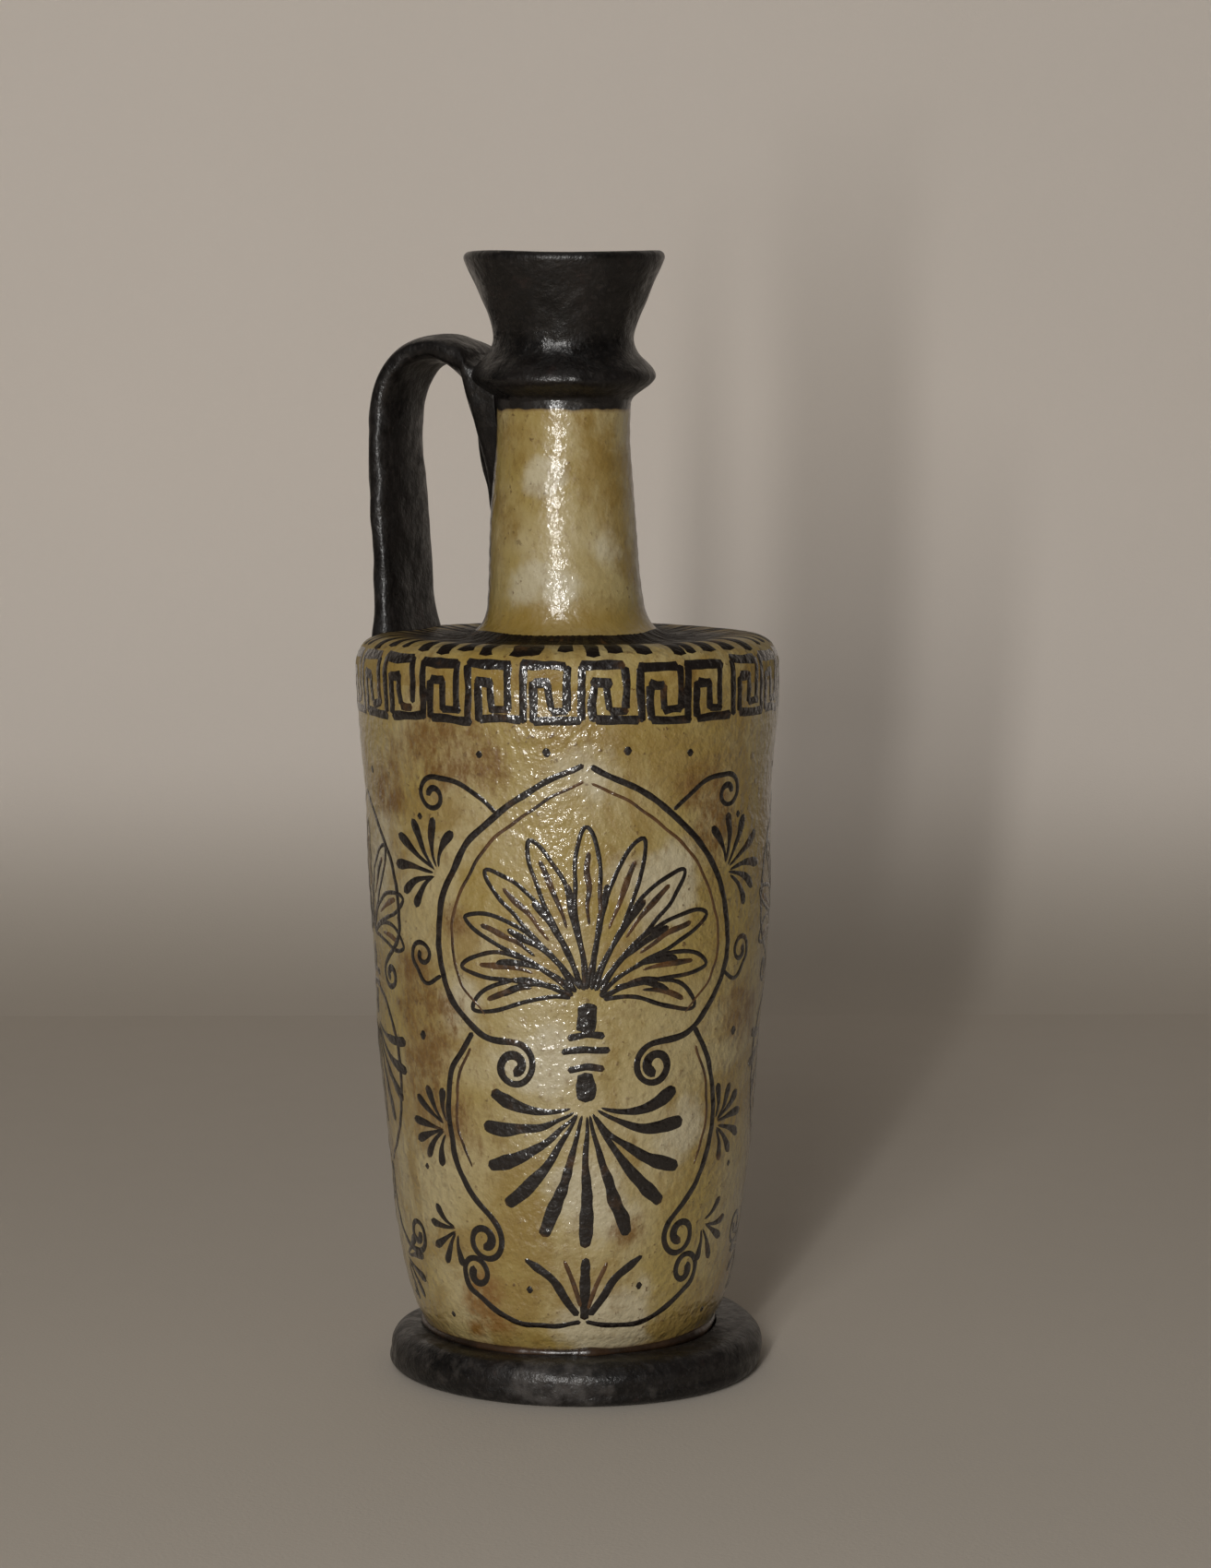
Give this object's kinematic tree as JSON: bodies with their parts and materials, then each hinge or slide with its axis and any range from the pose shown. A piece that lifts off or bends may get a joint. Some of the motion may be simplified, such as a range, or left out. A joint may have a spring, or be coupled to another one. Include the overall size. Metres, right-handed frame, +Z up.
{
  "type": "lekythos",
  "caption": "Tall narrow-necked oil flask with a flaring cup mouth, one strap handle from collar to shoulder, a straight tapering body and a slab foot.",
  "frame": {"origin": "centre of the vessel's footprint, on the plane that the foot stands on", "axes": "+Z up along the vessel's axis; the handle is on the -X side"},
  "size_m": [0.1136, 0.1136, 0.3],
  "materials": {
    "black_glaze": "satin black glaze over hand-shaped clay, worn brown on edges",
    "cream_glaze": "glossy clear glaze over mottled cream and ochre slip with rubbed oxide stains",
    "bead_glaze": "glossy dark brown glaze",
    "brush_black": "brushed brown-black oxide under clear glaze"
  },
  "bodies": {
    "root": {"foot": "black_glaze", "foot_bead": "bead_glaze", "body": "cream_glaze", "shoulder": "cream_glaze", "neck": "cream_glaze", "collar": "black_glaze", "mouth": "black_glaze", "handle": "black_glaze"}
  },
  "joints": []
}
